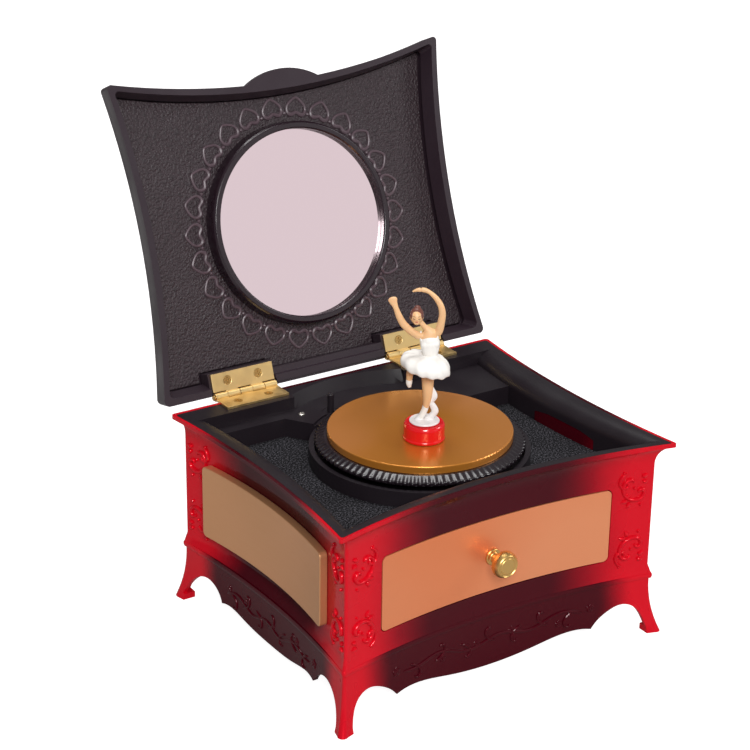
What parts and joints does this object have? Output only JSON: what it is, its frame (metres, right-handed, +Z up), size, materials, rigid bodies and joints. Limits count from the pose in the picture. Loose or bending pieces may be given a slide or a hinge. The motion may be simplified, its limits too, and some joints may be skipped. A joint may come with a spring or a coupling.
{
  "type": "musical jewellery box",
  "caption": "Concave-sided jewellery box on flared legs, with a hinged mirrored lid, a drawer, and a magnetic ballerina on a wind-up turntable.",
  "frame": {"origin": "under the middle of the open box (the middle of its bounding box in plan), at the level of the feet", "axes": "+Z up, +X to the right of someone facing the drawer, +Y towards the hinges"},
  "size_m": [0.161, 0.1868, 0.2132],
  "materials": {
    "red_lacquer": "high-gloss red lacquer fading to dark maroon at mid-face",
    "black_plastic": "satin moulded black",
    "black_gloss": "glossy black",
    "grained_liner": "leather-grained black",
    "flocking": "speckled dark flock",
    "gold_panel": "brushed copper-gold",
    "gold_disk": "brushed gold",
    "mirror_glass": "polished",
    "foam": "foam",
    "board": "fibreboard",
    "drawer_plastic": "satin",
    "brass": "polished",
    "screw_steel": "brass-plated",
    "steel": "satin",
    "bed_metal": "cast zinc",
    "white_gear": "moulded",
    "red_plastic": "glossy red",
    "magnet": "sintered",
    "clear_plastic": "translucent white",
    "figure_skin": "painted",
    "figure_white": "painted white"
  },
  "bodies": {
    "case": {"case_shell": "red_lacquer", "base_frame": "red_lacquer", "bottom_plate": "board", "bottom_screws": "screw_steel", "screw_bosses": "black_plastic", "tray": "black_plastic", "floor_flocking": "flocking", "side_panel_left": "gold_panel", "side_panel_right": "gold_panel", "drawer_shelf": "board", "drawer_guides": "drawer_plastic", "movement_divider": "board", "hinge_left_case_leaf": "brass", "hinge_right_case_leaf": "brass", "hinge_pins": "screw_steel", "hinge_case_screws": "screw_steel", "turntable_bearing": "white_gear", "drive_bearing": "white_gear", "stop_guide": "black_plastic", "stop_spring": "steel", "lever_bracket": "steel", "movement_bedplate": "bed_metal", "movement_screws": "screw_steel", "cylinder_brackets": "steel", "comb": "steel", "comb_block": "bed_metal", "comb_screws": "screw_steel", "governor_bracket": "steel"},
    "drawer": {"drawer_face": "gold_panel", "drawer_box": "drawer_plastic", "drawer_lining": "flocking", "drawer_knob": "brass", "knob_screw": "screw_steel"},
    "lid": {"lid_shell": "black_plastic", "lid_liner": "grained_liner", "mirror_bezel": "black_gloss", "mirror": "mirror_glass", "mirror_backing": "foam", "hinge_left_lid_leaf": "brass", "hinge_right_lid_leaf": "brass", "hinge_lid_screws": "screw_steel"},
    "turntable": {"turntable_disk": "gold_disk", "turntable_plate": "black_plastic", "turntable_gear": "white_gear"},
    "dancer": {"dancer_base": "red_plastic", "base_magnet": "magnet", "dancer_stand": "clear_plastic", "dancer_figure": "figure_skin", "dancer_tutu": "figure_white"},
    "stop_rod": {"stop_post": "black_plastic"},
    "lever": {"brake_lever": "steel"},
    "barrel": {"spring_barrel": "brass", "mainspring": "steel", "drive_shaft": "steel", "drive_pinion": "white_gear"},
    "key": {"winding_arbor": "steel", "winding_key": "steel"},
    "cylinder_unit": {"cylinder": "brass", "cylinder_spindle": "steel"},
    "governor": {"governor_spindle": "brass"}
  },
  "joints": [
    {"name": "lid_hinge", "type": "hinge", "parent": "case", "child": "lid", "pos_m": [0, 0.0407, 0.08685], "axis": [1, 0, 0], "range_deg": [0, 109.2]},
    {"name": "drawer_slide", "type": "slide", "parent": "case", "child": "drawer", "axis": [0, -1, 0], "range_m": [0, 0.052]},
    {"name": "turntable_spin", "type": "hinge", "parent": "case", "child": "turntable", "pos_m": [0, -0.0266, 0.075], "axis": [0, 0, 1], "continuous": true},
    {"name": "dancer_lift_off", "type": "slide", "parent": "turntable", "child": "dancer", "axis": [0, -1, 0], "range_m": [0, 0.1]},
    {"name": "key_turn", "type": "hinge", "parent": "case", "child": "key", "pos_m": [0, 0.0074, 0.014], "axis": [0, 0, 1], "continuous": true},
    {"name": "barrel_spin", "type": "hinge", "parent": "case", "child": "barrel", "pos_m": [0, 0.0074, 0.037], "axis": [0, 0, 1], "continuous": true},
    {"name": "cylinder_spin", "type": "hinge", "parent": "case", "child": "cylinder_unit", "pos_m": [-0.025, 0.0074, 0.056], "axis": [1, 0, 0], "continuous": true},
    {"name": "governor_spin", "type": "hinge", "parent": "case", "child": "governor", "pos_m": [-0.045, 0.0189, 0.056], "axis": [1, 0, 0], "continuous": true},
    {"name": "stop_press", "type": "slide", "parent": "case", "child": "stop_rod", "axis": [0, 0, -1], "range_m": [0, 0.0014], "stiffness_N_per_m": 150, "springref_m": -0.003, "deforming": ["stop_spring"]},
    {"name": "lever_swing", "type": "hinge", "parent": "case", "child": "lever", "pos_m": [0.008, 0.0209, 0.0636], "axis": [0, -1, 0], "range_deg": [0, 3.6]}
  ],
  "couplings": [
    {"joint": "dancer_lift_off", "follows": "lid_hinge", "m_per_rad": 0.0498},
    {"joint": "barrel_spin", "follows": "turntable_spin", "ratio": -4},
    {"joint": "cylinder_spin", "follows": "turntable_spin", "ratio": 4},
    {"joint": "governor_spin", "follows": "turntable_spin", "ratio": -24},
    {"joint": "lever_swing", "follows": "stop_press", "rad_per_m": 42.9}
  ]
}
